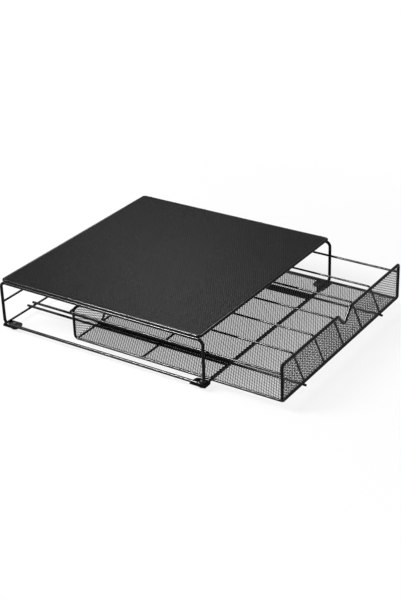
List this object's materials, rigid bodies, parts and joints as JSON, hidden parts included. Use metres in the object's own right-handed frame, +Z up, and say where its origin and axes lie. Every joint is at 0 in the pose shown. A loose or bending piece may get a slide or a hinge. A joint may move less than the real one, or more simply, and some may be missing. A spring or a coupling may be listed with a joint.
{
  "type": "coffee pod drawer",
  "caption": "Low black wire stand with a sheet metal deck and a wide mesh drawer on wire runners under it, with wire dividers between columns of coffee pods.",
  "frame": {"origin": "on the ground, under the middle of the part's bounding box, with the drawer part open as drawn", "axes": "+Z up; -Y is the drawer's front and the way it opens; +X to the right of someone who faces the front"},
  "size_m": [0.3282, 0.4346, 0.0778],
  "materials": {
    "wire_coat": "satin black powder coat on steel wire",
    "deck_coat": "satin black powder coat on embossed steel sheet",
    "mesh_coat": "satin black powder coat on expanded steel mesh",
    "rubber": "matt black rubber"
  },
  "bodies": {
    "stand": {"deck_sheet": "deck_coat", "deck_rim": "wire_coat", "deck_wire_1": "wire_coat", "deck_wire_2": "wire_coat", "deck_wire_3": "wire_coat", "deck_wire_4": "wire_coat", "side_loop_left": "wire_coat", "side_loop_right": "wire_coat", "back_middle_rail": "wire_coat", "back_bottom_rail": "wire_coat", "front_bottom_rail": "wire_coat", "runner_left_outer": "wire_coat", "runner_left_inner": "wire_coat", "runner_right_inner": "wire_coat", "runner_right_outer": "wire_coat", "foot_plate_front_left": "wire_coat", "foot_plate_front_right": "wire_coat", "foot_plate_back_left": "wire_coat", "foot_plate_back_right": "wire_coat", "rubber_foot_front_left": "rubber", "rubber_foot_front_right": "rubber", "rubber_foot_back_left": "rubber", "rubber_foot_back_right": "rubber"},
    "drawer": {"drawer_front_frame": "wire_coat", "drawer_side_wire": "wire_coat", "drawer_rail": "wire_coat", "drawer_floor_wire_1": "wire_coat", "drawer_floor_wire_2": "wire_coat", "drawer_floor_wire_3": "wire_coat", "guide_wire_left": "wire_coat", "guide_wire_right": "wire_coat", "drawer_floor_mesh": "mesh_coat", "drawer_front_mesh": "mesh_coat", "drawer_back_mesh": "mesh_coat", "divider_1": "wire_coat", "divider_2": "wire_coat", "divider_3": "wire_coat", "divider_4": "wire_coat", "divider_5": "wire_coat"}
  },
  "joints": [
    {"name": "drawer_slide", "type": "slide", "parent": "stand", "child": "drawer", "axis": [0, -1, 0], "range_m": [-0.1066, 0.1991]}
  ]
}
